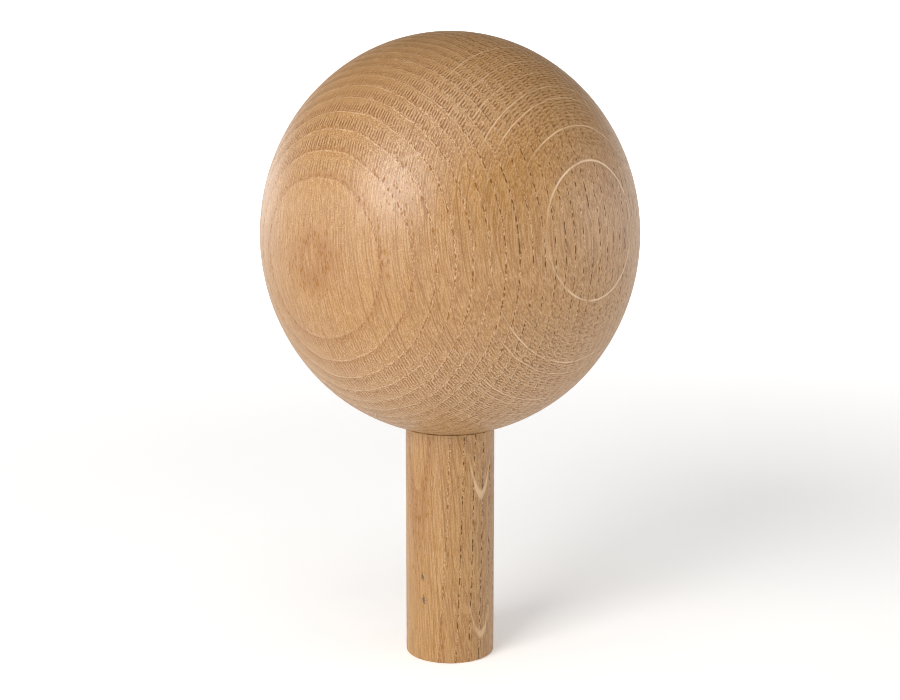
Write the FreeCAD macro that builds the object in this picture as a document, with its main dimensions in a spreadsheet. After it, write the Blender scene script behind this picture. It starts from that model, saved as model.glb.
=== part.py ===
import FreeCAD, Part
import os
import Sketcher

# Carving mallet: an oak ball head on a short round oak handle.
#
# The handle ends in a shouldered round tenon. The tenon is sawn down its middle, and a fox wedge stands in
# the kerf. Driving the handle home pushes the wedge against the socket's floor, which spreads the tenon
# into the flared end of the blind socket, where a film of glue holds it.
#
# Frame: origin at the centre of the handle's free end, +Z up the handle's axis to the head. Millimetres.

SIZES = [
    ("head_diameter", 100.0, "head, across the grain"),
    ("head_extra_height", 6.0, "how much taller the head is along the grain than across it"),
    ("handle_diameter", 24.0, "handle, outside"),
    ("grip_length", 63.0, "handle, from its free end to its shoulder"),
    ("end_ease", 0.7, "broken edge round the handle's free end"),
    ("shoulder_ease", 0.3, "broken edge round the handle's shoulder"),
    ("seat_lip", 0.25, "how far the head's flat seat reaches past the shoulder"),
    ("tenon_diameter", 18.0, "round tenon, where it is straight"),
    ("tenon_length", 40.0, "tenon, from the shoulder to its end"),
    ("tenon_lead", 0.8, "chamfer round the tenon's end"),
    ("glue_gap", 0.1, "glue between the tenon and the socket's wall"),
    ("floor_room", 1.2, "room between the tenon's end and the socket's floor"),
    ("kerf_depth", 28.0, "saw kerf, from the tenon's end"),
    ("kerf_width", 1.6, "saw kerf, and the fox wedge's thin end"),
    ("wedge_length", 22.0, "fox wedge, from its thin end to the tenon's end"),
    ("wedge_butt", 3.6, "fox wedge's thickness at the tenon's end"),
    ("wedge_side_room", 2.0, "from the fox wedge's edge to the tenon's side"),
    ("spread_length", 22.0, "how far down from its end the tenon is spread"),
    ("tenon_spread", 0.5, "how far the tenon's end is spread outwards"),
]

HEAD_HEIGHT = "(Sizes.head_diameter + Sizes.head_extra_height)"
SEAT_RADIUS = "(Sizes.handle_diameter / 2 + Sizes.seat_lip)"
SHOULDER = "Sizes.grip_length"
# The seat's edge lies on the ball, so the seat's width says how far up the ball's centre is.
HEAD_CENTRE = f"({SHOULDER} + {HEAD_HEIGHT} / 2 * sqrt(1 - (2 * {SEAT_RADIUS} / Sizes.head_diameter) ^ 2))"

HANDLE_RADIUS = "Sizes.handle_diameter / 2"
TENON_RADIUS = "Sizes.tenon_diameter / 2"
TENON_END = "(Sizes.grip_length + Sizes.tenon_length)"
SPREAD_START = f"({TENON_END} - Sizes.spread_length)"
SPREAD_SLOPE = "Sizes.tenon_spread / Sizes.spread_length"
LEAD_START = f"({TENON_END} - Sizes.tenon_lead)"
LEAD_RADIUS = f"({TENON_RADIUS} + Sizes.tenon_spread - {SPREAD_SLOPE} * Sizes.tenon_lead)"

SOCKET_RADIUS = f"({TENON_RADIUS} + Sizes.glue_gap)"
SOCKET_FLOOR = f"({TENON_END} + Sizes.floor_room)"
SOCKET_END_RADIUS = f"({SOCKET_RADIUS} + Sizes.tenon_spread + {SPREAD_SLOPE} * Sizes.floor_room)"

KERF_FLOOR = f"({TENON_END} - Sizes.kerf_depth)"
HALF_KERF = "Sizes.kerf_width / 2"
WEDGE_TIP = f"({TENON_END} - Sizes.wedge_length)"
HALF_BUTT = "Sizes.wedge_butt / 2"
WEDGE_SLOPE = "(Sizes.wedge_butt - Sizes.kerf_width) / 2 / Sizes.wedge_length"
HALF_WEDGE_TOP = f"({HALF_BUTT} + {WEDGE_SLOPE} * Sizes.floor_room)"
WEDGE_WIDTH = "Sizes.tenon_diameter - 2 * Sizes.wedge_side_room"

doc = FreeCAD.newDocument("CarvingMallet")


def make_sheet():
    """The driving dimensions, one to a row: its value, its alias and what it measures."""
    sheet = doc.addObject("Spreadsheet::Sheet", "Sizes")
    for row, (alias, value, meaning) in enumerate(SIZES, start=1):
        sheet.set(f"A{row}", str(value))
        sheet.setAlias(f"A{row}", alias)
        sheet.set(f"B{row}", meaning)
    doc.recompute()


def new_body(name):
    body = doc.addObject("PartDesign::Body", name)
    body.Label = name
    body.Placement = FreeCAD.Placement()
    return body


def origin_plane(body, role):
    """One of the body's own origin planes."""
    return next(feature for feature in body.Origin.OriginFeatures if feature.Role == role)


def new_sketch(body, name):
    """A sketch on the body's own XZ plane: its x is X and its y is Z."""
    sketch = body.newObject("Sketcher::SketchObject", name)
    sketch.AttachmentSupport = (origin_plane(body, "XZ_Plane"), [""])
    sketch.MapMode = "FlatFace"
    return sketch


def bind(sketch, constraint, expression):
    """Add a constraint whose value is an expression over the sheet."""
    index = sketch.addConstraint(constraint)
    sketch.setExpression(f"Constraints[{index}]", expression)


def point_at(sketch, x, y):
    """Where the expressions x, y put a point now. A zero is None."""
    across = sketch.evalExpression(x) if x else 0
    along = sketch.evalExpression(y) if y else 0
    return FreeCAD.Vector(across, along, 0)


def hold_point(sketch, line, x, y):
    """Tie a line's first point to the expressions x, y. None holds it on that axis of the sketch."""
    point = point_at(sketch, x, y)
    if x:
        bind(sketch, Sketcher.Constraint("DistanceX", -1, 1, line, 1, point.x), x)
    else:
        sketch.addConstraint(Sketcher.Constraint("PointOnObject", line, 1, -2))
    if y:
        bind(sketch, Sketcher.Constraint("DistanceY", -1, 1, line, 1, point.y), y)
    else:
        sketch.addConstraint(Sketcher.Constraint("PointOnObject", line, 1, -1))


def draw_loop(sketch, corners):
    """Join the corners by lines into a closed loop."""
    count = len(corners)
    for i in range(count):
        sketch.addGeometry(Part.LineSegment(corners[i], corners[(i + 1) % count]))
    for i in range(count):
        sketch.addConstraint(Sketcher.Constraint("Coincident", i, 2, (i + 1) % count, 1))


def draw_outline(sketch, points):
    """A closed outline through points given as pairs of expressions."""
    draw_loop(sketch, [point_at(sketch, x, y) for x, y in points])
    for i, (x, y) in enumerate(points):
        hold_point(sketch, i, x, y)


def draw_mirrored(sketch, points):
    """A closed outline from points on the right of the sketch's y axis and their mirror images."""
    right = [point_at(sketch, x, y) for x, y in points]
    left = [FreeCAD.Vector(-point.x, point.y, 0) for point in reversed(right)]
    draw_loop(sketch, right + left)
    last = 2 * len(points) - 1
    for i, (x, y) in enumerate(points):
        hold_point(sketch, i, x, y)
        sketch.addConstraint(Sketcher.Constraint("Symmetric", i, 1, last - i, 1, -2))


def turn(body, kind, name, sketch):
    """A full turn of the sketch about its own y axis, which is the mallet's axis."""
    feature = body.newObject(f"PartDesign::{kind}", name)
    feature.Profile = sketch
    feature.ReferenceAxis = (sketch, ["V_Axis"])
    feature.Angle = 360
    doc.recompute()
    return feature


def extrude(body, kind, name, sketch, length):
    """Carry the sketch the given length, half to each side of its plane."""
    feature = body.newObject(f"PartDesign::{kind}", name)
    feature.Profile = sketch
    feature.Midplane = True
    feature.setExpression("Length", length)
    doc.recompute()
    return feature


def make_head():
    """A ball a little taller than it is wide, faced flat below and bored blind for the tenon."""
    body = new_body("head")
    ball = body.newObject("PartDesign::AdditiveEllipsoid", "Ball")
    ball.AttachmentSupport = (origin_plane(body, "XY_Plane"), [""])
    ball.MapMode = "FlatFace"
    ball.setExpression("AttachmentOffset.Base.z", HEAD_CENTRE)
    ball.setExpression("Radius1", f"{HEAD_HEIGHT} / 2")
    ball.setExpression("Radius2", "Sizes.head_diameter / 2")
    ball.setExpression("Radius3", "Sizes.head_diameter / 2")
    doc.recompute()

    below_ball = f"({HEAD_CENTRE} - {HEAD_HEIGHT})"
    waste = new_sketch(body, "SeatWaste")
    draw_outline(
        waste,
        [
            (None, below_ball),
            ("Sizes.head_diameter", below_ball),
            ("Sizes.head_diameter", SHOULDER),
            (None, SHOULDER),
        ],
    )
    turn(body, "Groove", "Seat", waste)

    bore = new_sketch(body, "SocketOutline")
    draw_outline(
        bore,
        [
            (None, SHOULDER),
            (SOCKET_RADIUS, SHOULDER),
            (SOCKET_RADIUS, SPREAD_START),
            (SOCKET_END_RADIUS, SOCKET_FLOOR),
            (None, SOCKET_FLOOR),
        ],
    )
    turn(body, "Groove", "Socket", bore)
    return body


def make_handle():
    """Grip, shoulder and spread tenon turned in one, with both end edges broken and the kerf sawn."""
    body = new_body("handle")
    outline = new_sketch(body, "HandleOutline")
    draw_outline(
        outline,
        [
            (None, None),
            (f"{HANDLE_RADIUS} - Sizes.end_ease", None),
            (HANDLE_RADIUS, "Sizes.end_ease"),
            (HANDLE_RADIUS, f"{SHOULDER} - Sizes.shoulder_ease"),
            (f"{HANDLE_RADIUS} - Sizes.shoulder_ease", SHOULDER),
            (TENON_RADIUS, SHOULDER),
            (TENON_RADIUS, SPREAD_START),
            (LEAD_RADIUS, LEAD_START),
            (f"{LEAD_RADIUS} - Sizes.tenon_lead", TENON_END),
            (None, TENON_END),
        ],
    )
    turn(body, "Revolution", "Turning", outline)

    kerf = new_sketch(body, "KerfOutline")
    draw_mirrored(
        kerf,
        [
            (HALF_KERF, KERF_FLOOR),
            (HALF_KERF, WEDGE_TIP),
            (HALF_BUTT, TENON_END),
        ],
    )
    extrude(body, "Pocket", "Kerf", kerf, "2 * Sizes.tenon_diameter")
    return body


def make_fox_wedge():
    """A flat taper that fills the kerf's open end and stands on the socket's floor."""
    body = new_body("fox_wedge")
    outline = new_sketch(body, "WedgeOutline")
    draw_mirrored(outline, [(HALF_KERF, WEDGE_TIP), (HALF_WEDGE_TOP, SOCKET_FLOOR)])
    extrude(body, "Pad", "Taper", outline, WEDGE_WIDTH)
    return body


def make_glue_film():
    """The sleeve of glue between the tenon's side and the socket's wall."""
    body = new_body("glue_film")
    outline = new_sketch(body, "FilmOutline")
    draw_outline(
        outline,
        [
            (TENON_RADIUS, SHOULDER),
            (SOCKET_RADIUS, SHOULDER),
            (SOCKET_RADIUS, SPREAD_START),
            (f"{LEAD_RADIUS} + Sizes.glue_gap", LEAD_START),
            (LEAD_RADIUS, LEAD_START),
            (TENON_RADIUS, SPREAD_START),
        ],
    )
    turn(body, "Revolution", "Film", outline)
    return body


def check_document():
    """Stop if anything in the document failed to build."""
    for item in doc.Objects:
        if "Invalid" in item.State or "Error" in item.State:
            raise RuntimeError(f"{item.Name} is {item.State}")
        if item.TypeId == "Sketcher::SketchObject" and not item.FullyConstrained:
            raise RuntimeError(f"{item.Name} is not held by its dimensions")


def check_cuts(head, handle):
    """Stop if a cut missed its solid: each feature's volume has to be under the one before it."""
    for body in (head, handle):
        features = [f for f in body.Group if f.isDerivedFrom("PartDesign::Feature")]
        for before, after in zip(features, features[1:]):
            if after.Shape.Volume >= before.Shape.Volume:
                raise RuntimeError(f"{after.Name} cuts nothing")


def write_parts(bodies):
    os.makedirs("parts", exist_ok=True)
    for body in bodies:
        shape = body.Shape
        if shape.isNull() or not shape.isValid() or len(shape.Solids) != 1:
            raise RuntimeError(f"{body.Label} isn't one valid solid")
        shape.exportStep(f"parts/{body.Label}.step")
        print(f"{body.Label}: {shape.Volume:.1f} mm3, top at {shape.BoundBox.ZMax:.3f} mm")


make_sheet()
head = make_head()
handle = make_handle()
fox_wedge = make_fox_wedge()
glue_film = make_glue_film()
doc.recompute()
check_document()
check_cuts(head, handle)
write_parts([head, handle, fox_wedge, glue_film])
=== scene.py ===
import math

import bpy
import numpy as np
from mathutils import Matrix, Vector, noise


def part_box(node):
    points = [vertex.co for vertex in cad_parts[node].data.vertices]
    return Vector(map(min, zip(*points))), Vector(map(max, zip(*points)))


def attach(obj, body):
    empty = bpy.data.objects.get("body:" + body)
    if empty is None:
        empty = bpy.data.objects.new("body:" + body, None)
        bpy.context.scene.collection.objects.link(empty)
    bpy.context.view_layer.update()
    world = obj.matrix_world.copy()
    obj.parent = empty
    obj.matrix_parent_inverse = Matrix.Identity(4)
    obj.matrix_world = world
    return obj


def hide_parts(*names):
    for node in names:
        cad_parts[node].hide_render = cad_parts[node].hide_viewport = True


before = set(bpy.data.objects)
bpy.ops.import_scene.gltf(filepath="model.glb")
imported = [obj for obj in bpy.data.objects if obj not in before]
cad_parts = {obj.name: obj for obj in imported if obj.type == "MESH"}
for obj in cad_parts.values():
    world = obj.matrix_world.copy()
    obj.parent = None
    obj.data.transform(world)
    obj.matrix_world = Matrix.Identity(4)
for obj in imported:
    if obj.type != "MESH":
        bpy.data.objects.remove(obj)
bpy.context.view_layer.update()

# ---------------------------------------------------------------------------------------------------------
# Sizes, in metres, from the frame. The mallet stands on the origin, with its axis along +Z.
# ---------------------------------------------------------------------------------------------------------

MM = 0.001
HEAD_LOW, HEAD_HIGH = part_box("head")
HANDLE_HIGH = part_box("handle")[1]
WEDGE_LOW, WEDGE_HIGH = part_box("fox_wedge")
GLUE_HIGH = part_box("glue_film")[1]

# The ball is a little taller along its grain than across it.
HEAD_RADIUS = (HEAD_HIGH.x - HEAD_LOW.x) / 2
HEAD_HALF_HEIGHT = HEAD_RADIUS + 3 * MM
HEAD_CENTRE = Vector((0, 0, HEAD_HIGH.z - HEAD_HALF_HEIGHT))
SEAT_Z = HEAD_LOW.z

HANDLE_RADIUS = HANDLE_HIGH.x
END_EASE = 0.7 * MM
SHOULDER_EASE = 0.3 * MM

# The tenon widens from the wedge's thin end up, and the socket widens with it.
GLUE_GAP = 0.1 * MM
TENON_RADIUS = 9.0 * MM
TENON_LEAD = 0.8 * MM
TENON_END_Z = HANDLE_HIGH.z
SPREAD_Z = WEDGE_LOW.z
LEAD_RADIUS = GLUE_HIGH.x - GLUE_GAP
SPREAD_SLOPE = (LEAD_RADIUS - TENON_RADIUS) / (TENON_END_Z - TENON_LEAD - SPREAD_Z)
SOCKET_RADIUS = TENON_RADIUS + GLUE_GAP
SOCKET_FLOOR_Z = WEDGE_HIGH.z
SOCKET_END_RADIUS = SOCKET_RADIUS + SPREAD_SLOPE * (SOCKET_FLOOR_Z - SPREAD_Z)

# The kerf is parallel below the wedge, and then fits its taper.
KERF_DEPTH = 28 * MM
KERF_FLOOR_Z = TENON_END_Z - KERF_DEPTH
KERF_OVERRUN = 1 * MM
HALF_KERF = 0.8 * MM
KERF_SLOPE = (WEDGE_HIGH.x - HALF_KERF) / (WEDGE_HIGH.z - WEDGE_LOW.z)

# How finely the turned pieces are drawn.
BALL_ROWS = 212
BALL_SEGMENTS = 440
HANDLE_SEGMENTS = 256
EASE_STEPS = 6

# How deep sanding leaves the soft early wood, and how deep its slight flats are.
HEAD_RELIEF = (0.015 * MM, 0.12 * MM)
HANDLE_RELIEF = (0.012 * MM, 0.04 * MM)
FLAT_LENGTH = 17 * MM
SOFTEST_SHARE = 0.12
SOFT_WIDTH = 0.14
SHARP_EDGE = math.radians(32)


# ---------------------------------------------------------------------------------------------------------
# Wood: the directions of the grain in a piece, and where each point of the piece lies in it
# ---------------------------------------------------------------------------------------------------------

# How the rings and the rays waver, in millimetres.
WAVE_LENGTHS = (14, 14, 45)
RIPPLE_LENGTHS = (5, 9, 30)
RIPPLE_SHARE = 0.35
SWAY_LENGTHS = (30, 30, 60)
SWAY_SHARE = 0.5
BEND_EASE = 15


class Grain:
    """Three directions at right angles: across the rings, across the rays, and along the fibres.

    lean says how far the fibres lean from +Z, as x and y for each 1 of z. azimuth is where the rings are
    widest open on the piece's side, in degrees from -Y towards +X. The lengths are in millimetres: the rings'
    pitch inside and outside first_ring, where across the rays they start to bend, and how far they waver.
    bend is how steeply they fall away beyond that place.
    """

    def __init__(self, centre, azimuth, lean, pitch, outer_pitch, first_ring, bend_from, bend, waver, seed):
        self.centre = np.array(centre)
        angle = math.radians(azimuth)
        fibre = np.array((lean[0], lean[1], 1.0))
        self.fibre = fibre / np.linalg.norm(fibre)
        across = np.array((math.sin(angle), -math.cos(angle), 0.0))
        across -= self.fibre * across.dot(self.fibre)
        self.ring = across / np.linalg.norm(across)
        self.ray = np.cross(self.fibre, self.ring)
        self.pitch = pitch
        self.outer_pitch = outer_pitch
        self.first_ring = first_ring
        self.bend_from = bend_from
        self.bend = bend
        self.waver = waver
        self.seed = Vector(seed)

    def wobble(self, x, y, z, lengths, seed_turn):
        """Smooth noise at each place, with the given lengths in millimetres."""
        places = zip(x / lengths[0], y / lengths[1], z / lengths[2])
        return np.array([noise.noise(Vector(place) + self.seed * seed_turn) for place in places])

    def place(self, points):
        """Where each point lies, and how many rings in it is.

        The places are in millimetres across the rays, across the rings and along the fibres.
        """
        offsets = (points - self.centre) / MM
        u = offsets @ self.ray
        v = offsets @ self.ring
        w = offsets @ self.fibre
        wave = self.wobble(u, v, w, WAVE_LENGTHS, 1)
        ripple = self.wobble(u, v, w, RIPPLE_LENGTHS, 2)
        sway = self.wobble(v, w, u, SWAY_LENGTHS, 3)
        drop = self.bend / 2 * ((u - self.bend_from) + np.hypot(u - self.bend_from, BEND_EASE))
        depth = v + drop + self.waver * (wave + RIPPLE_SHARE * ripple)
        inwards = self.first_ring - depth
        rings = np.where(inwards > 0, inwards / self.pitch, inwards / self.outer_pitch)
        return np.column_stack((u + SWAY_SHARE * sway, depth, w)), rings

    def facing(self, normals):
        """How squarely each normal looks across the rays, across the rings and along the fibres."""
        return np.abs(np.column_stack((normals @ self.ray, normals @ self.ring, normals @ self.fibre)))


HEAD_GRAIN = Grain(
    centre=HEAD_CENTRE,
    azimuth=-43.5,
    lean=(-0.093, 0.019),
    pitch=2.87,
    outer_pitch=3.67,
    first_ring=46.86,
    bend_from=12,
    bend=0.10,
    waver=0.40,
    seed=(3.1, 7.7, 1.9),
)
HANDLE_GRAIN = Grain(
    centre=(0, 0, HEAD_LOW.z / 2),
    azimuth=-46,
    lean=(-0.022, 0.070),
    pitch=3.1,
    outer_pitch=3.1,
    first_ring=9.4,
    bend_from=30,
    bend=0.0,
    waver=0.35,
    seed=(11.3, 2.4, 8.8),
)


# ---------------------------------------------------------------------------------------------------------
# Meshes: turned pieces
# ---------------------------------------------------------------------------------------------------------


def along(start, end, count):
    """count points after start on the straight line to end, evenly spaced, the last one at end."""
    return [
        (start[0] + (end[0] - start[0]) * i / count, start[1] + (end[1] - start[1]) * i / count)
        for i in range(1, count + 1)
    ]


def turned(outline, segments):
    """Vertices and faces of an outline of (radius, height) turned about Z. Radius 0 closes the solid."""
    points = []
    rows = []
    for radius, height in outline:
        if radius == 0:
            rows.append([len(points)])
            points.append((0.0, 0.0, height))
            continue
        rows.append(list(range(len(points), len(points) + segments)))
        for i in range(segments):
            angle = 2 * math.pi * i / segments
            points.append((radius * math.cos(angle), radius * math.sin(angle), height))
    faces = []
    for low, high in zip(rows, rows[1:]):
        for i in range(segments):
            j = (i + 1) % segments
            if len(low) == 1:
                faces.append((low[0], high[j], high[i]))
            elif len(high) == 1:
                faces.append((low[i], low[j], high[0]))
            else:
                faces.append((low[i], low[j], high[j], high[i]))
    return np.array(points), faces


def new_piece(name, points, faces, grain, relief):
    """A mesh object, sunk by the relief of its grain, that carries its grain for the shader."""
    mesh = bpy.data.meshes.new(name)
    mesh.from_pydata(points.tolist(), [], faces)
    mesh.update()
    normals = np.zeros(len(points) * 3)
    mesh.vertices.foreach_get("normal", normals)
    normals = normals.reshape(-1, 3)
    place, rings = grain.place(points)
    mesh.vertices.foreach_set("co", (points - normals * relief(points, rings)[:, None]).ravel())
    for attribute, values in (("grain", place), ("facing", grain.facing(normals))):
        layer = mesh.attributes.new(attribute, "FLOAT_VECTOR", "POINT")
        layer.data.foreach_set("vector", values.astype(np.float32).ravel())
    layer = mesh.attributes.new("rings", "FLOAT", "POINT")
    layer.data.foreach_set("value", rings.astype(np.float32))
    mesh.shade_smooth()
    mesh.set_sharp_from_angle(angle=SHARP_EDGE)
    mesh.update()
    piece = bpy.data.objects.new(name, mesh)
    bpy.context.scene.collection.objects.link(piece)
    return piece


def head_outline():
    """From the socket's floor down its wall, across the seat, and up the ball to its top."""
    seat_angle = math.asin((SEAT_Z - HEAD_CENTRE.z) / HEAD_HALF_HEIGHT)
    seat_radius = HEAD_RADIUS * math.cos(seat_angle)
    floor = (0.0, SOCKET_FLOOR_Z)
    corner = (SOCKET_END_RADIUS, SOCKET_FLOOR_Z)
    neck = (SOCKET_RADIUS, SPREAD_Z)
    mouth = (SOCKET_RADIUS, SEAT_Z)
    outline = [floor, corner] + along(corner, neck, 4) + along(neck, mouth, 3)
    outline += along(mouth, (seat_radius, SEAT_Z), 4)
    for i in range(1, BALL_ROWS):
        angle = seat_angle + (math.pi / 2 - seat_angle) * i / BALL_ROWS
        height = HEAD_CENTRE.z + HEAD_HALF_HEIGHT * math.sin(angle)
        outline.append((HEAD_RADIUS * math.cos(angle), height))
    return outline + [(0.0, HEAD_CENTRE.z + HEAD_HALF_HEIGHT)]


def ring_relief(depth, flat_depth):
    """Sanding leaves each ring's soft early wood a little below its late wood, and slight flats all over."""

    def relief(points, rings):
        soft = np.exp(-(((rings % 1.0) - SOFTEST_SHARE) / SOFT_WIDTH) ** 2)
        flats = np.array([noise.noise(Vector(point) / FLAT_LENGTH) for point in points])
        return depth * soft + flat_depth * (0.5 + 0.5 * flats)

    return relief


def make_head():
    points, faces = turned(head_outline(), BALL_SEGMENTS)
    return new_piece("head_ball", points, faces, HEAD_GRAIN, ring_relief(*HEAD_RELIEF))


def handle_outline():
    """From the middle of the free end, up the grip, over the shoulder and up the tenon."""
    outline = [(0.0, 0.0)] + along((0.0, 0.0), (HANDLE_RADIUS - END_EASE, 0.0), 14)
    for i in range(1, EASE_STEPS + 1):
        angle = math.pi / 2 * i / EASE_STEPS
        radius = HANDLE_RADIUS - END_EASE + END_EASE * math.sin(angle)
        outline.append((radius, END_EASE - END_EASE * math.cos(angle)))
    outline += along(outline[-1], (HANDLE_RADIUS, SEAT_Z - SHOULDER_EASE), 150)
    outline += along(outline[-1], (HANDLE_RADIUS - SHOULDER_EASE, SEAT_Z), 2)
    outline += along(outline[-1], (TENON_RADIUS, SEAT_Z), 3)
    outline += along(outline[-1], (TENON_RADIUS, SPREAD_Z), 10)
    outline += along(outline[-1], (LEAD_RADIUS, TENON_END_Z - TENON_LEAD), 10)
    outline += along(outline[-1], (LEAD_RADIUS - TENON_LEAD, TENON_END_Z), 2)
    return outline + [(0.0, TENON_END_Z)]


def kerf_waste():
    """The wood that the saw and the wedge take out of the tenon, run past its sides and its end."""
    top = TENON_END_Z + KERF_OVERRUN
    half_top = HALF_KERF + KERF_SLOPE * (top - SPREAD_Z)
    right = [(HALF_KERF, KERF_FLOOR_Z), (HALF_KERF, SPREAD_Z), (half_top, top)]
    outline = right + [(-x, z) for x, z in reversed(right)]
    count = len(outline)
    points = [(x, y, z) for y in (-2 * TENON_RADIUS, 2 * TENON_RADIUS) for x, z in outline]
    faces = [tuple(range(count)), tuple(reversed(range(count, 2 * count)))]
    for i in range(count):
        j = (i + 1) % count
        faces.append((j, i, i + count, j + count))
    return points, faces


def cut_away(points, faces, waste_points, waste_faces):
    """Vertices and faces of what is left of one closed mesh when another is taken out of it."""
    solids = []
    for name, corners, sides in (("whole", points, faces), ("waste", waste_points, waste_faces)):
        mesh = bpy.data.meshes.new(name)
        mesh.from_pydata([tuple(corner) for corner in corners], [], sides)
        solids.append(bpy.data.objects.new(name, mesh))
        bpy.context.scene.collection.objects.link(solids[-1])
    whole, waste = solids
    cut = whole.modifiers.new("cut", "BOOLEAN")
    cut.operation = "DIFFERENCE"
    cut.solver = "EXACT"
    cut.object = waste
    left = bpy.data.meshes.new_from_object(whole.evaluated_get(bpy.context.evaluated_depsgraph_get()))
    left_points = np.array([vertex.co[:] for vertex in left.vertices])
    left_faces = [tuple(face.vertices) for face in left.polygons]
    for solid in solids:
        bpy.data.objects.remove(solid)
    return left_points, left_faces


def make_handle():
    points, faces = cut_away(*turned(handle_outline(), HANDLE_SEGMENTS), *kerf_waste())
    return new_piece("handle_dowel", points, faces, HANDLE_GRAIN, ring_relief(*HANDLE_RELIEF))


# ---------------------------------------------------------------------------------------------------------
# Materials
# ---------------------------------------------------------------------------------------------------------


class Graph:
    """Short ways to add nodes to one material's tree."""

    def __init__(self, name):
        self.material = bpy.data.materials.new(name)
        self.material.use_nodes = True
        self.nodes = self.material.node_tree.nodes
        self.links = self.material.node_tree.links
        self.shader = self.nodes["Principled BSDF"]

    def put(self, socket, value):
        if isinstance(value, bpy.types.NodeSocket):
            self.links.new(value, socket)
        else:
            socket.default_value = value

    def attribute(self, name, output="Vector"):
        node = self.nodes.new("ShaderNodeAttribute")
        node.attribute_name = name
        return node.outputs[output]

    def math(self, operation, a, b=0.0, c=0.0):
        node = self.nodes.new("ShaderNodeMath")
        node.operation = operation
        for socket, value in zip(node.inputs, (a, b, c)):
            self.put(socket, value)
        return node.outputs[0]

    def times(self, a, b):
        return self.math("MULTIPLY", a, b)

    def times_plus(self, a, b, c):
        """a times b, plus c."""
        return self.math("MULTIPLY_ADD", a, b, c)

    def over(self, a, b):
        return self.math("DIVIDE", a, b)

    def minus(self, a, b):
        return self.math("SUBTRACT", a, b)

    def larger(self, a, b):
        return self.math("MAXIMUM", a, b)

    def split(self, vector):
        node = self.nodes.new("ShaderNodeSeparateXYZ")
        self.put(node.inputs[0], vector)
        return node.outputs[0], node.outputs[1], node.outputs[2]

    def join(self, x, y, z):
        node = self.nodes.new("ShaderNodeCombineXYZ")
        for socket, value in zip(node.inputs, (x, y, z)):
            self.put(socket, value)
        return node.outputs[0]

    def stretch(self, vector, x, y, z):
        """The vector with each part divided by the length it has to stand for."""
        node = self.nodes.new("ShaderNodeVectorMath")
        node.operation = "MULTIPLY"
        self.put(node.inputs[0], vector)
        node.inputs[1].default_value = (1 / x, 1 / y, 1 / z)
        return node.outputs[0]

    def away_from(self, vector, point, x, y, z):
        """How far the vector is from the point, counted in the three given lengths."""
        offset = self.nodes.new("ShaderNodeVectorMath")
        offset.operation = "SUBTRACT"
        self.put(offset.inputs[0], vector)
        offset.inputs[1].default_value = tuple(point)
        length = self.nodes.new("ShaderNodeVectorMath")
        length.operation = "LENGTH"
        self.put(length.inputs[0], self.stretch(offset.outputs[0], x, y, z))
        return length.outputs["Value"]

    def noise(self, vector, detail=2.0, roughness=0.5):
        node = self.nodes.new("ShaderNodeTexNoise")
        self.put(node.inputs["Vector"], vector)
        node.inputs["Scale"].default_value = 1.0
        node.inputs["Detail"].default_value = detail
        node.inputs["Roughness"].default_value = roughness
        return node.outputs["Fac"]

    def cells(self, vector, randomness=1.0):
        """Distance to the nearest of the points scattered one to a unit cell."""
        node = self.nodes.new("ShaderNodeTexVoronoi")
        self.put(node.inputs["Vector"], vector)
        node.inputs["Scale"].default_value = 1.0
        node.inputs["Randomness"].default_value = randomness
        return node.outputs["Distance"]

    def random(self, value):
        """A random number from 0 to 1 for each value."""
        node = self.nodes.new("ShaderNodeTexWhiteNoise")
        node.noise_dimensions = "1D"
        self.put(node.inputs["W"], value)
        return node.outputs["Value"]

    def step(self, value, start, end, low=0.0, high=1.0):
        """A smooth step from low at start to high at end."""
        node = self.nodes.new("ShaderNodeMapRange")
        node.interpolation_type = "SMOOTHSTEP"
        for socket, number in zip(node.inputs, (value, start, end, low, high)):
            self.put(socket, number)
        return node.outputs[0]

    def band(self, value, start, full, ebb, end):
        """1 from full to ebb, falling smoothly to 0 at start and at end."""
        return self.times(self.step(value, start, full), self.step(value, ebb, end, 1.0, 0.0))

    def mix(self, amount, a, b):
        """Colour a, with this amount of it, 0 to 1, turned into colour b."""
        node = self.nodes.new("ShaderNodeMix")
        node.data_type = "RGBA"
        self.put(node.inputs[0], amount)
        self.put(node.inputs[6], a)
        self.put(node.inputs[7], b)
        return node.outputs[2]

    def bump(self, height, distance):
        """The surface's normal, tilted as a relief of this height and depth would tilt it."""
        node = self.nodes.new("ShaderNodeBump")
        node.inputs["Strength"].default_value = 1.0
        node.inputs["Distance"].default_value = distance
        self.put(node.inputs["Height"], height)
        return node.outputs[0]


def colour(red, green, blue):
    """A colour given as it looks on screen, 0 to 255, as the linear values that a shader takes."""

    def linear(value):
        share = value / 255
        return share / 12.92 if share <= 0.04045 else ((share + 0.055) / 1.055) ** 2.4

    return (linear(red), linear(green), linear(blue), 1.0)


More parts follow.
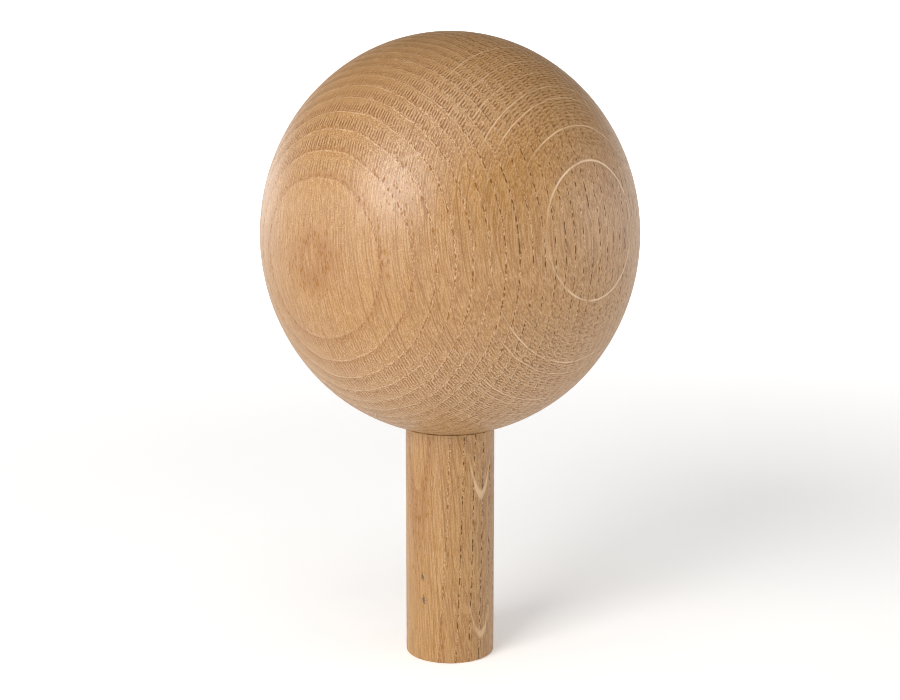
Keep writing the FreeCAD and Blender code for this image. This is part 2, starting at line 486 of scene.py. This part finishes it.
# The ray sheets that show: millimetres across the rays from the piece's centre, then how strongly each
# shows above and below the middle.
HEAD_RAYS = (
    (-43.0, 0.7, 0.9),
    (-38.5, 0.9, 0.4),
    (-33.0, 0.5, 0.9),
    (-27.0, 0.8, 0.6),
    (-19.5, 0.6, 0.7),
    (-11.5, 0.9, 0.3),
    (-1.0, 0.9, 0.5),
    (2.2, 1.0, 0.4),
    (8.0, 0.3, 0.9),
    (13.0, 0.7, 0.3),
    (18.2, 0.3, 0.8),
    (20.3, 0.2, 0.9),
    (24.4, 0.9, 0.5),
    (28.3, 0.2, 0.7),
    (30.2, 0.8, 0.9),
    (33.8, 0.6, 0.3),
    (37.2, 0.9, 0.6),
    (39.5, 0.9, 1.0),
    (43.8, 1.0, 0.1),
    (47.3, 1.0, 0.8),
)
HANDLE_RAYS = (
    (-10.2, 0.8, 0.8),
    (-7.4, 0.5, 0.7),
    (-4.1, 0.7, 0.7),
    (-1.3, 0.7, 0.8),
    (2.6, 0.8, 0.7),
    (5.4, 0.6, 0.8),
    (8.1, 0.8, 0.7),
    (10.3, 0.2, 0.7),
    (13.05, 0.8, 0.2),
)

# The pin knots on the handle: degrees from -Y towards +X, and millimetres up from its free end.
HANDLE_PINS = ((-38, 23.6), (-36, 17.1))


def handle_places(spots):
    """Where spots on the handle's side lie in its grain."""
    points = []
    for azimuth, height in spots:
        angle = math.radians(azimuth)
        points.append((HANDLE_RADIUS * math.sin(angle), -HANDLE_RADIUS * math.cos(angle), height * MM))
    return HANDLE_GRAIN.place(np.array(points))[0]


# Sizes of the oak's figure, in millimetres. Threes run across the rays, across the rings and along the
# fibres. A size that is followed by a gain grows by that gain where the surface looks across the rays.
LARGE_PORE_ACROSS = 0.46
LARGE_PORE_ALONG = 1.5
LARGE_PORE_HALF_DEPTH, LARGE_PORE_DEPTH_GAIN = 0.15, 0.05
SMALL_PORE_CELL = (0.66, 0.62, 2.6)
STROKE_HALF_LENGTH, STROKE_LENGTH_SPREAD = 0.50, 0.70
STROKE_SWAY = (9.0, 9.0, 14.0)
STROKE_BREAKS = (0.45, 0.55, 0.60)
EDGE_DOTS = (0.45, 2.0, 0.45)
SPECKLE = (0.26, 0.22, 0.42)
THIN_RAY_SPACING = 1.9
THIN_RAY_BEND = (3.2, 15.0, 26.0)
THIN_RAY_FADE = (2.0, 9.0, 11.0)
BROAD_RAY_CORE = 0.095 * 0.35
BROAD_RAY_EDGE = 0.095 * 1.25
BROAD_RAY_TURNOVER = 6.0
BROAD_RAY_BREAKS = (7.0, 9.0, 16.0)
FIBRES = (0.24, 0.60, 8.0)
STIPPLE = (0.20, 0.22, 0.30)
STREAKS = (1.0, 3.0, 34.0)
DRIFT = (16.0, 12.0, 55.0)
POLE_LICKS = (0.8, 3.0, 6.0)
PIN_SIZE = (0.55, 0.9, 1.25)

# Counts and places that have no length: parts of a pore's cell, of the strokes' spacing, or of a ring.
LARGE_PORE_SCATTER = 0.8
LARGE_PORE_RADIUS, LARGE_PORE_RADIUS_GAIN = 0.36, 0.20
LARGE_PORE_ROW = 0.06
SMALL_PORE_EARLY_GAIN = 0.16
STROKE_JITTER = 0.26
STROKE_HALF_WIDTH = 0.26
STROKE_MIDDLE, STROKE_MIDDLE_SPREAD = 0.25, 0.22
STROKE_SWAY_SHIFT = 1.6
THIN_RAY_BEND_SHIFT = 1.5

# Strokes for each millimetre across the rays, and how many more for each millimetre from the middle.
STROKE_DENSITY = 1.05
STROKE_CROWDING = 0.010

# Each ring's pores and strokes are shifted from the last ring's by these parts of their spacing.
RING_SHIFT_ACROSS = 7.3
RING_SHIFT_ALONG = 3.1

# Any two numbers that keep the strokes' random values apart.
STROKE_RING_SEED = 17.13
STROKE_MIDDLE_SEED = 5.7

# How strongly each kind of mark shows, 0 to 1.
THIN_RAY_SHARE = 0.95
LIGHT_FIBRE_SHARE = 0.45
BROWN_SPECK_SHARE = 0.90
BROAD_RAY_SHARE = 0.90
EDGE_LINE_SHARE = 0.62
GAP_SHARE = 0.16
PIN_TONE = colour(58, 38, 12)
PIN_SHARE = 0.85

# The finest relief: its depth, and the part of it that each mark is high or deep.
FINE_RELIEF = 0.07 * MM
FIBRE_HEIGHT = 0.20
STIPPLE_HEIGHT = 0.30
LARGE_PORE_DEPTH, FLAT_SAWN_PORE_DEPTH = 0.8, 0.4
SMALL_PORE_DEPTH = 0.5
STROKE_DEPTH = 0.5

# Gloss: what sound wood has, and what holes and stipple add to it.
ROUGHNESS, HOLE_ROUGHNESS, STIPPLE_ROUGHNESS = 0.40, 0.45, 0.06
SPECULAR, HOLE_SPECULAR = 0.95, -0.6


class OakGraph(Graph):
    """A tree with the wood's own directions and counts, which every part of its figure is drawn from.

    inwards runs from 0 where a ring starts to 1 where it ends. The shares say how far the surface is end
    grain, and how far it is flat-sawn. The facings say how squarely it looks across the rays, across the
    rings and along the fibres.
    """

    def __init__(self, name, pitch):
        super().__init__(name)
        self.pitch = pitch
        self.grain = self.attribute("grain")
        self.across, _, self.length = self.split(self.grain)
        self.ray_facing, self.ring_facing, self.end_facing = self.split(self.attribute("facing"))
        rings = self.attribute("rings", "Fac")
        self.ring = self.math("FLOOR", rings)
        self.inwards = self.math("FRACT", rings)
        self.end_share = self.step(self.end_facing, 0.22, 0.62)
        facing_rings = self.step(self.ring_facing, 0.30, 0.60)
        self.flat_share = self.times(facing_rings, self.minus(1.0, self.end_share))
        self.fibres = self.grain_noise(FIBRES, 0.5)
        self.stipple = self.grain_noise(STIPPLE, 0.0)
        self.speckle = self.grain_noise(SPECKLE, 0.0)

    def grain_noise(self, lengths, detail, roughness=0.5):
        """Noise with these lengths, in millimetres, in the wood's own directions."""
        return self.noise(self.stretch(self.grain, *lengths), detail, roughness)


def large_pores(g):
    """One row at the start of each ring, each pore a tube along the fibres."""
    row_place = g.join(
        g.times_plus(g.ring, RING_SHIFT_ACROSS, g.over(g.across, LARGE_PORE_ACROSS)),
        g.times_plus(g.ring, RING_SHIFT_ALONG, g.over(g.length, LARGE_PORE_ALONG)),
        0.0,
    )
    radius = g.times_plus(g.ray_facing, LARGE_PORE_RADIUS_GAIN, LARGE_PORE_RADIUS)
    half_depth = g.times_plus(g.ray_facing, LARGE_PORE_DEPTH_GAIN, LARGE_PORE_HALF_DEPTH)
    in_row = g.over(g.cells(row_place, LARGE_PORE_SCATTER), radius)
    off_row = g.over(g.times(g.minus(g.inwards, LARGE_PORE_ROW), g.pitch), half_depth)
    away = g.math("SQRT", g.times_plus(in_row, in_row, g.math("POWER", off_row, 2.0)))
    return g.step(away, 0.80, 1.05, 1.0, 0.0)


def small_pores(g):
    """Scattered through the whole ring, and larger early in it."""
    away = g.cells(g.stretch(g.grain, *SMALL_PORE_CELL))
    early = g.band(g.inwards, 0.02, 0.08, 0.15, 0.50)
    away = g.minus(away, g.times(early, SMALL_PORE_EARLY_GAIN))
    return g.step(away, 0.06, 0.25, 1.0, 0.0)


def strokes(g):
    """Short bars across the rings after each row of large pores, and the gaps between the bars."""
    density = g.times_plus(g.math("ABSOLUTE", g.across), STROKE_CROWDING, STROKE_DENSITY)
    count = g.times_plus(g.ring, RING_SHIFT_ACROSS, g.times(g.across, density))
    count = g.times_plus(g.grain_noise(STROKE_SWAY, 1.0), STROKE_SWAY_SHIFT, count)
    pick = g.random(g.times_plus(g.ring, STROKE_RING_SEED, g.math("FLOOR", count)))
    beside = g.minus(g.math("FRACT", count), 0.5)
    beside = g.over(g.times_plus(g.minus(pick, 0.5), STROKE_JITTER, beside), STROKE_HALF_WIDTH)
    middle_pick = g.random(g.math("ADD", pick, STROKE_MIDDLE_SEED))
    middle = g.times_plus(middle_pick, STROKE_MIDDLE_SPREAD, STROKE_MIDDLE)
    half_length = g.times_plus(pick, STROKE_LENGTH_SPREAD, STROKE_HALF_LENGTH)
    along_bar = g.over(g.times(g.minus(g.inwards, middle), g.pitch), half_length)
    away = g.times_plus(beside, beside, g.times(along_bar, along_bar))
    bars = g.step(away, 0.60, 1.20, 1.0, 0.0)
    bars = g.times(bars, g.step(g.grain_noise(STROKE_BREAKS, 0.0), 0.36, 0.54, 0.50, 1.0))
    gaps = g.minus(g.step(g.math("ABSOLUTE", along_bar), 0.7, 1.3, 1.0, 0.0), bars)
    return bars, gaps


def thin_rays(g):
    """Long, nearly parallel lines on flat-sawn wood, unevenly strong."""
    bend = g.grain_noise(THIN_RAY_BEND, 0.0)
    count = g.times_plus(bend, THIN_RAY_BEND_SHIFT, g.over(g.across, THIN_RAY_SPACING))
    away = g.math("ABSOLUTE", g.minus(g.math("FRACT", count), 0.5))
    lines = g.step(away, 0.020, 0.060, 1.0, 0.0)
    lines = g.times(lines, g.step(g.random(g.math("FLOOR", count)), 0.0, 0.50))
    fade = g.step(g.grain_noise(THIN_RAY_FADE, 1.0), 0.30, 0.46)
    return g.times(g.times(lines, fade), g.flat_share)


def broad_rays(g, rays, ray_light, ray_dark):
    """How far each place is in a broad ray, and the ray's tone there.

    Broad rays show pale over end grain and where the surface looks straight across them, and dark where
    flat-sawn wood cuts them across: partly the rays' own figure, and partly painted sheen on the pale flecks
    and painted shade on the dark lines.
    """
    above = g.step(g.length, -BROAD_RAY_TURNOVER, BROAD_RAY_TURNOVER)
    sheets = 0.0
    for offset, upper, lower in rays:
        away = g.math("ABSOLUTE", g.minus(g.across, offset))
        line = g.step(away, BROAD_RAY_CORE, BROAD_RAY_EDGE, 1.0, 0.0)
        sheets = g.larger(sheets, g.times(line, g.times_plus(above, upper - lower, lower)))
    # Pale ray tone on end grain and across the rays, dark on flat-sawn faces: partly the rays' own colour,
    # partly painted sheen and painted shade.
    flat_on = g.step(g.ring_facing, 0.16, 0.40, 1.0, 0.0)
    pale = g.larger(g.step(g.end_facing, 0.28, 0.45), flat_on)
    dark = g.step(g.ring_facing, 0.40, 0.65)
    shown = g.times(g.larger(pale, g.times(dark, 0.95)), BROAD_RAY_SHARE)
    breaks = g.step(g.grain_noise(BROAD_RAY_BREAKS, 1.0), 0.34, 0.50, 0.45, 1.0)
    return g.times(g.times(sheets, breaks), shown), g.mix(dark, ray_light, ray_dark)


def plain_wood(g, tones):
    """The wood between its marks: streaks, a slow drift of tone, fibres and a fine stipple."""
    streaks = g.step(g.grain_noise(STREAKS, 2.0, 0.6), 0.36, 0.66, 0.0, 0.32)
    drift = g.step(g.grain_noise(DRIFT, 1.0), 0.35, 0.70, 0.0, 0.15)
    silk = g.step(g.ring_facing, 0.70, 0.95, 0.30, 0.16)
    grit = g.times_plus(g.end_share, 0.35, 0.20)
    tone = g.mix(streaks, tones["tan"], tones["brown"])
    tone = g.mix(drift, tone, tones["brown"])
    tone = g.mix(g.times(g.step(g.fibres, 0.46, 0.62), LIGHT_FIBRE_SHARE), tone, tones["light"])
    tone = g.mix(g.times(g.step(g.fibres, 0.34, 0.48, 1.0, 0.0), silk), tone, tones["brown"])
    tone = g.mix(g.times(g.step(g.stipple, 0.36, 0.50, 1.0, 0.0), grit), tone, tones["brown"])
    return g.mix(g.times(g.step(g.stipple, 0.52, 0.66), grit), tone, tones["ray_light"])


def with_pole_patch(g, tone, amber):
    """The tone, warmer in licks where the surface just grazes a ring's start."""
    grazing = g.times(g.step(g.inwards, 0.0, 0.22, 1.0, 0.0), g.step(g.ring_facing, 0.92, 0.98))
    licks = g.step(g.grain_noise(POLE_LICKS, 1.0), 0.40, 0.60, 0.0, 0.75)
    return g.mix(g.times(grazing, licks), tone, amber)


def with_strokes(g, tone, bars, gaps, tones):
    """The tone, darker in the strokes and paler between them, most of all in the upper end grain."""
    tone = g.mix(g.times(gaps, g.times(g.end_share, GAP_SHARE)), tone, tones["ray_light"])
    share = g.times_plus(g.flat_share, 0.14, g.times_plus(g.end_share, 0.84, 0.10))
    share = g.times(share, g.step(g.length, -25.0, 8.0, 0.66, 1.0))
    return g.mix(g.times(bars, share), tone, g.mix(0.20, tones["brown"], tones["pore_tone"]))


def with_ring_edges(g, tone, tones):
    """The tone, with speckles and a warm line where a ring starts, and a pale line where one ends. The pale
    speckles in the early wood are partly torn fibre and partly painted glints beside the pores.
    """
    early_wood = g.band(g.inwards, 0.0, 0.03, 0.10, 0.18)
    speckled = g.times(early_wood, g.step(g.ring_facing, 0.94, 0.985, 1.0, 0.0))
    # Pale speckles: partly pale torn fibre, partly painted glints beside the pores.
    pale = g.times(g.step(g.speckle, 0.50, 0.60), speckled)
    brown = g.times(g.step(g.speckle, 0.40, 0.48, 1.0, 0.0), speckled)
    warm = g.band(g.inwards, 0.0, 0.05, 0.08, 0.30)
    edge = g.larger(g.step(g.inwards, 0.93, 0.98), g.step(g.inwards, 0.0, 0.03, 1.0, 0.0))
    edge = g.times(edge, g.step(g.grain_noise(EDGE_DOTS, 0.0), 0.40, 0.55))
    pale_speck_and_glint_share = g.step(g.ring_facing, 0.75, 0.95, 0.45, 0.15)
    warm_share = g.step(g.ring_facing, 0.70, 0.90, 0.0, 0.40)
    tone = g.mix(g.times(pale, pale_speck_and_glint_share), tone, tones["ray_light"])
    tone = g.mix(g.times(brown, BROWN_SPECK_SHARE), tone, g.mix(g.end_share, tones["amber"], tones["brown"]))
    tone = g.mix(g.times(warm, warm_share), tone, tones["amber"])
    return g.mix(g.times(edge, g.times(g.end_share, EDGE_LINE_SHARE)), tone, tones["ray_light"])


def with_pores(g, tone, small, large, tones):
    """The tone, with dark pores in end grain and warmer ones where they lie along the surface."""
    warm = g.mix(0.55, tones["amber"], tones["brown"])
    pore_tone = g.mix(g.step(g.ring_facing, 0.40, 0.75), tones["pore_tone"], warm)
    tone = g.mix(g.times(small, g.times_plus(g.end_share, 0.40, 0.35)), tone, pore_tone)
    return g.mix(g.times(large, g.step(g.ring_facing, 0.55, 0.90, 0.95, 0.80)), tone, pore_tone)


def with_pins(g, tone, pins):
    """The tone, with a small dark knot with a ragged edge at each of the pins."""
    for pin in pins:
        away = g.away_from(g.grain, pin, *PIN_SIZE)
        away = g.times_plus(g.minus(g.speckle, 0.5), 1.6, away)
        tone = g.mix(g.step(away, 0.55, 1.0, PIN_SHARE, 0.0), tone, PIN_TONE)
    return tone


def finish_surface(g, large, small, bars):
    """Relief and gloss: pores and strokes are slight, dull hollows in the satin wood."""
    large_depth = g.step(g.ring_facing, 0.55, 0.90, LARGE_PORE_DEPTH, FLAT_SAWN_PORE_DEPTH)
    holes = g.times(large, large_depth)
    holes = g.larger(holes, g.times(small, SMALL_PORE_DEPTH))
    holes = g.larger(holes, g.times(bars, g.times(g.end_share, STROKE_DEPTH)))
    height = g.times_plus(g.fibres, FIBRE_HEIGHT, g.times(g.stipple, STIPPLE_HEIGHT))
    roughness = g.times_plus(holes, HOLE_ROUGHNESS, ROUGHNESS)
    g.put(g.shader.inputs["Roughness"], g.times_plus(g.stipple, STIPPLE_ROUGHNESS, roughness))
    g.put(g.shader.inputs["Normal"], g.bump(g.minus(height, holes), FINE_RELIEF))
    g.put(g.shader.inputs["Specular IOR Level"], g.times_plus(holes, HOLE_SPECULAR, SPECULAR))


def oak(name, rays, pins, pitch, tones):
    """Sanded oak, drawn in the piece's own grain.

    Counting inwards, each ring starts with a row of large open pores and a band of smaller ones, darkens
    into short strokes, and ends in pale, plain wood. Rays are thin sheets: pale where the surface looks
    across them, dark where it is cut across the rings, partly their own figure and partly painted sheen and
    painted shade. pins are the places of small dark pin knots.
    """
    g = OakGraph(name, pitch)
    large = large_pores(g)
    small = small_pores(g)
    bars, gaps = strokes(g)
    sheets, sheet_tone = broad_rays(g, rays, tones["ray_light"], tones["ray_dark"])

    tone = plain_wood(g, tones)
    tone = g.mix(g.times(thin_rays(g), THIN_RAY_SHARE), tone, tones["amber"])
    tone = with_pole_patch(g, tone, tones["amber"])
    tone = with_strokes(g, tone, bars, gaps, tones)
    tone = with_ring_edges(g, tone, tones)
    tone = with_pores(g, tone, small, large, tones)
    tone = g.mix(sheets, tone, sheet_tone)
    tone = with_pins(g, tone, pins)

    g.put(g.shader.inputs["Base Color"], tone)
    finish_surface(g, large, small, bars)
    return g.material


HEAD_OAK = oak(
    "head_oak",
    HEAD_RAYS,
    (),
    HEAD_GRAIN.pitch,
    dict(
        light=colour(180, 142, 96),
        tan=colour(160, 113, 44),
        amber=colour(138, 86, 6),
        brown=colour(122, 73, 0),
        pore_tone=colour(96, 58, 0),
        ray_light=colour(212, 184, 150),
        ray_dark=colour(118, 74, 10),
    ),
)
HANDLE_OAK = oak(
    "handle_oak",
    HANDLE_RAYS,
    handle_places(HANDLE_PINS),
    HANDLE_GRAIN.pitch,
    dict(
        light=colour(182, 142, 90),
        tan=colour(161, 115, 44),
        amber=colour(136, 86, 6),
        brown=colour(124, 74, 0),
        pore_tone=colour(84, 50, 2),
        ray_light=colour(208, 176, 134),
        ray_dark=colour(118, 74, 10),
    ),
)


def wedge_oak():
    """Plain straight-grained oak, seen only where the mallet comes apart."""
    g = Graph("wedge_oak")
    place = g.nodes.new("ShaderNodeTexCoord").outputs["Object"]
    fibres = g.noise(g.stretch(place, 0.5 * MM, 0.4 * MM, 9 * MM), 2.0, 0.6)
    bands = g.noise(g.stretch(place, 2.5 * MM, 6 * MM, 60 * MM), 1.0, 0.5)
    tone = g.mix(g.step(bands, 0.35, 0.65), colour(184, 143, 88), colour(156, 112, 56))
    tone = g.mix(g.step(fibres, 0.30, 0.48, 0.6, 0.0), tone, colour(112, 70, 20))
    g.put(g.shader.inputs["Base Color"], tone)
    g.put(g.shader.inputs["Roughness"], g.step(fibres, 0.3, 0.7, 0.62, 0.48))
    g.put(g.shader.inputs["Normal"], g.bump(fibres, 0.05 * MM))
    return g.material


def wood_glue():
    """Dried wood glue: a cloudy amber skin."""
    g = Graph("wood_glue")
    place = g.nodes.new("ShaderNodeTexCoord").outputs["Object"]
    clouds = g.noise(g.stretch(place, 4 * MM, 4 * MM, 6 * MM), 3.0, 0.6)
    tone = g.mix(g.step(clouds, 0.35, 0.65), colour(206, 166, 96), colour(188, 138, 66))
    g.put(g.shader.inputs["Base Color"], tone)
    g.put(g.shader.inputs["Roughness"], g.step(clouds, 0.3, 0.7, 0.28, 0.42))
    g.put(g.shader.inputs["Normal"], g.bump(clouds, 0.04 * MM))
    return g.material


# ---------------------------------------------------------------------------------------------------------
# The pieces, in place
# ---------------------------------------------------------------------------------------------------------

head = make_head()
head.data.materials.append(HEAD_OAK)
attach(head, "root")
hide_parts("head")

handle = make_handle()
handle.data.materials.append(HANDLE_OAK)
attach(handle, "root")
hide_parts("handle")

for node, material in (("fox_wedge", wedge_oak()), ("glue_film", wood_glue())):
    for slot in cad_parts[node].material_slots:
        slot.material = material


# ---------------------------------------------------------------------------------------------------------
# Stage, lights and camera
# ---------------------------------------------------------------------------------------------------------

FLOOR_FRONT = -12.0
FLOOR_BACK = 1.1
FLOOR_HALF_WIDTH = 12.0
SWEEP_RADIUS = 0.5
SWEEP_STEPS = 16
FLOOR_TONE = (0.90, 0.90, 0.895, 1.0)
FLOOR_ROUGHNESS = 0.75

# The floor's own glow, near the mallet and far from it.
NEAR_DISTANCE, NEAR_GLOW = 0.15, 0.32
FAR_DISTANCE, FAR_GLOW = 0.9, 0.82

# The room's light, by how far up one looks: white below the first height, and dim above the second.
ROOM_WHITE_BELOW, ROOM_WHITE = 0.10, 0.95
ROOM_DIM_ABOVE, ROOM_DIM = 0.50, 0.06
ROOM_TONE = (1.0, 0.99, 0.98, 1.0)

# Each soft light's name, place, width, height and watts. All are clear of the floor and face the head.
LIGHT_TONE = (1.0, 0.98, 0.96)
SOFTBOXES = (
    ("key", (-0.62, -0.84, 0.66), 0.62, 0.56, 10.9),
    ("left_wall", (-1.18, -0.16, 0.38), 1.0, 0.6, 2.1),
    ("left_rim", (-0.86, 0.86, 0.22), 0.7, 0.3, 1.2),
    ("side", (1.1, -0.05, 0.38), 1.0, 0.6, 2.5),
    ("ceiling", (0.0, -0.5, 1.2), 0.9, 0.9, 4.2),
)

# The camera: its place from the head's centre, its downward tilt in degrees, and its lens in millimetres.
CAMERA_PLACE = Vector((0, -0.4059, 0.0356))
CAMERA_TILT = 9.29
CAMERA_LENS = 61.48
CAMERA_SENSOR = 36.0


def make_floor():
    """A pale floor that sweeps up into a low backdrop. Far off, it glows enough to stay white."""
    rail = [(FLOOR_FRONT, 0.0), (FLOOR_BACK, 0.0)]
    for i in range(1, SWEEP_STEPS + 1):
        angle = math.pi / 2 * i / SWEEP_STEPS
        rail.append((FLOOR_BACK + SWEEP_RADIUS * math.sin(angle), SWEEP_RADIUS * (1 - math.cos(angle))))
    points = [(side * FLOOR_HALF_WIDTH, y, z) for y, z in rail for side in (-1, 1)]
    faces = [(2 * i, 2 * i + 1, 2 * i + 3, 2 * i + 2) for i in range(len(rail) - 1)]
    mesh = bpy.data.meshes.new("floor_sweep")
    mesh.from_pydata(points, [], faces)
    mesh.shade_smooth()
    floor = bpy.data.objects.new("floor_sweep", mesh)
    bpy.context.scene.collection.objects.link(floor)
    g = Graph("pale_floor")
    g.shader.inputs["Base Color"].default_value = FLOOR_TONE
    g.shader.inputs["Emission Color"].default_value = (1.0, 1.0, 1.0, 1.0)
    place = g.nodes.new("ShaderNodeTexCoord").outputs["Object"]
    distance = g.away_from(place, (0.0, 0.0, 0.0), 1.0, 1.0, 1.0)
    glow = g.step(distance, NEAR_DISTANCE, FAR_DISTANCE, NEAR_GLOW, FAR_GLOW)
    g.put(g.shader.inputs["Emission Strength"], glow)
    g.shader.inputs["Roughness"].default_value = FLOOR_ROUGHNESS
    mesh.materials.append(g.material)


def make_surroundings():
    """A white room up to a little above the horizon, and a dim ceiling."""
    world = bpy.data.worlds.new("studio")
    world.use_nodes = True
    nodes = world.node_tree.nodes
    links = world.node_tree.links
    direction = nodes.new("ShaderNodeTexCoord")
    split = nodes.new("ShaderNodeSeparateXYZ")
    links.new(direction.outputs["Generated"], split.inputs[0])
    fade = nodes.new("ShaderNodeMapRange")
    fade.interpolation_type = "SMOOTHSTEP"
    fade.inputs["From Min"].default_value = ROOM_WHITE_BELOW
    fade.inputs["From Max"].default_value = ROOM_DIM_ABOVE
    fade.inputs["To Min"].default_value = ROOM_WHITE
    fade.inputs["To Max"].default_value = ROOM_DIM
    links.new(split.outputs[2], fade.inputs[0])
    links.new(fade.outputs[0], nodes["Background"].inputs["Strength"])
    nodes["Background"].inputs["Color"].default_value = ROOM_TONE
    bpy.context.scene.world = world


def add_softbox(name, place, width, height, power):
    """A rectangular light at the place, facing the head's centre."""
    light = bpy.data.lights.new(name, "AREA")
    light.shape = "RECTANGLE"
    light.size = width
    light.size_y = height
    light.energy = power
    light.color = LIGHT_TONE
    box = bpy.data.objects.new(name, light)
    box.location = place
    box.rotation_euler = (HEAD_CENTRE - box.location).to_track_quat("-Z", "Y").to_euler()
    bpy.context.scene.collection.objects.link(box)


def add_camera():
    """On the -Y side, level with the upper half of the head and tipped down to take in the handle."""
    data = bpy.data.cameras.new("camera")
    data.sensor_width = CAMERA_SENSOR
    data.lens = CAMERA_LENS
    camera = bpy.data.objects.new("camera", data)
    camera.location = HEAD_CENTRE + CAMERA_PLACE
    camera.rotation_euler = (math.radians(90 - CAMERA_TILT), 0, 0)
    bpy.context.scene.collection.objects.link(camera)
    bpy.context.scene.camera = camera


make_floor()
make_surroundings()
for softbox in SOFTBOXES:
    add_softbox(*softbox)
add_camera()
bpy.context.scene.view_settings.view_transform = "Standard"
bpy.context.scene.cycles.filter_width = 1.0
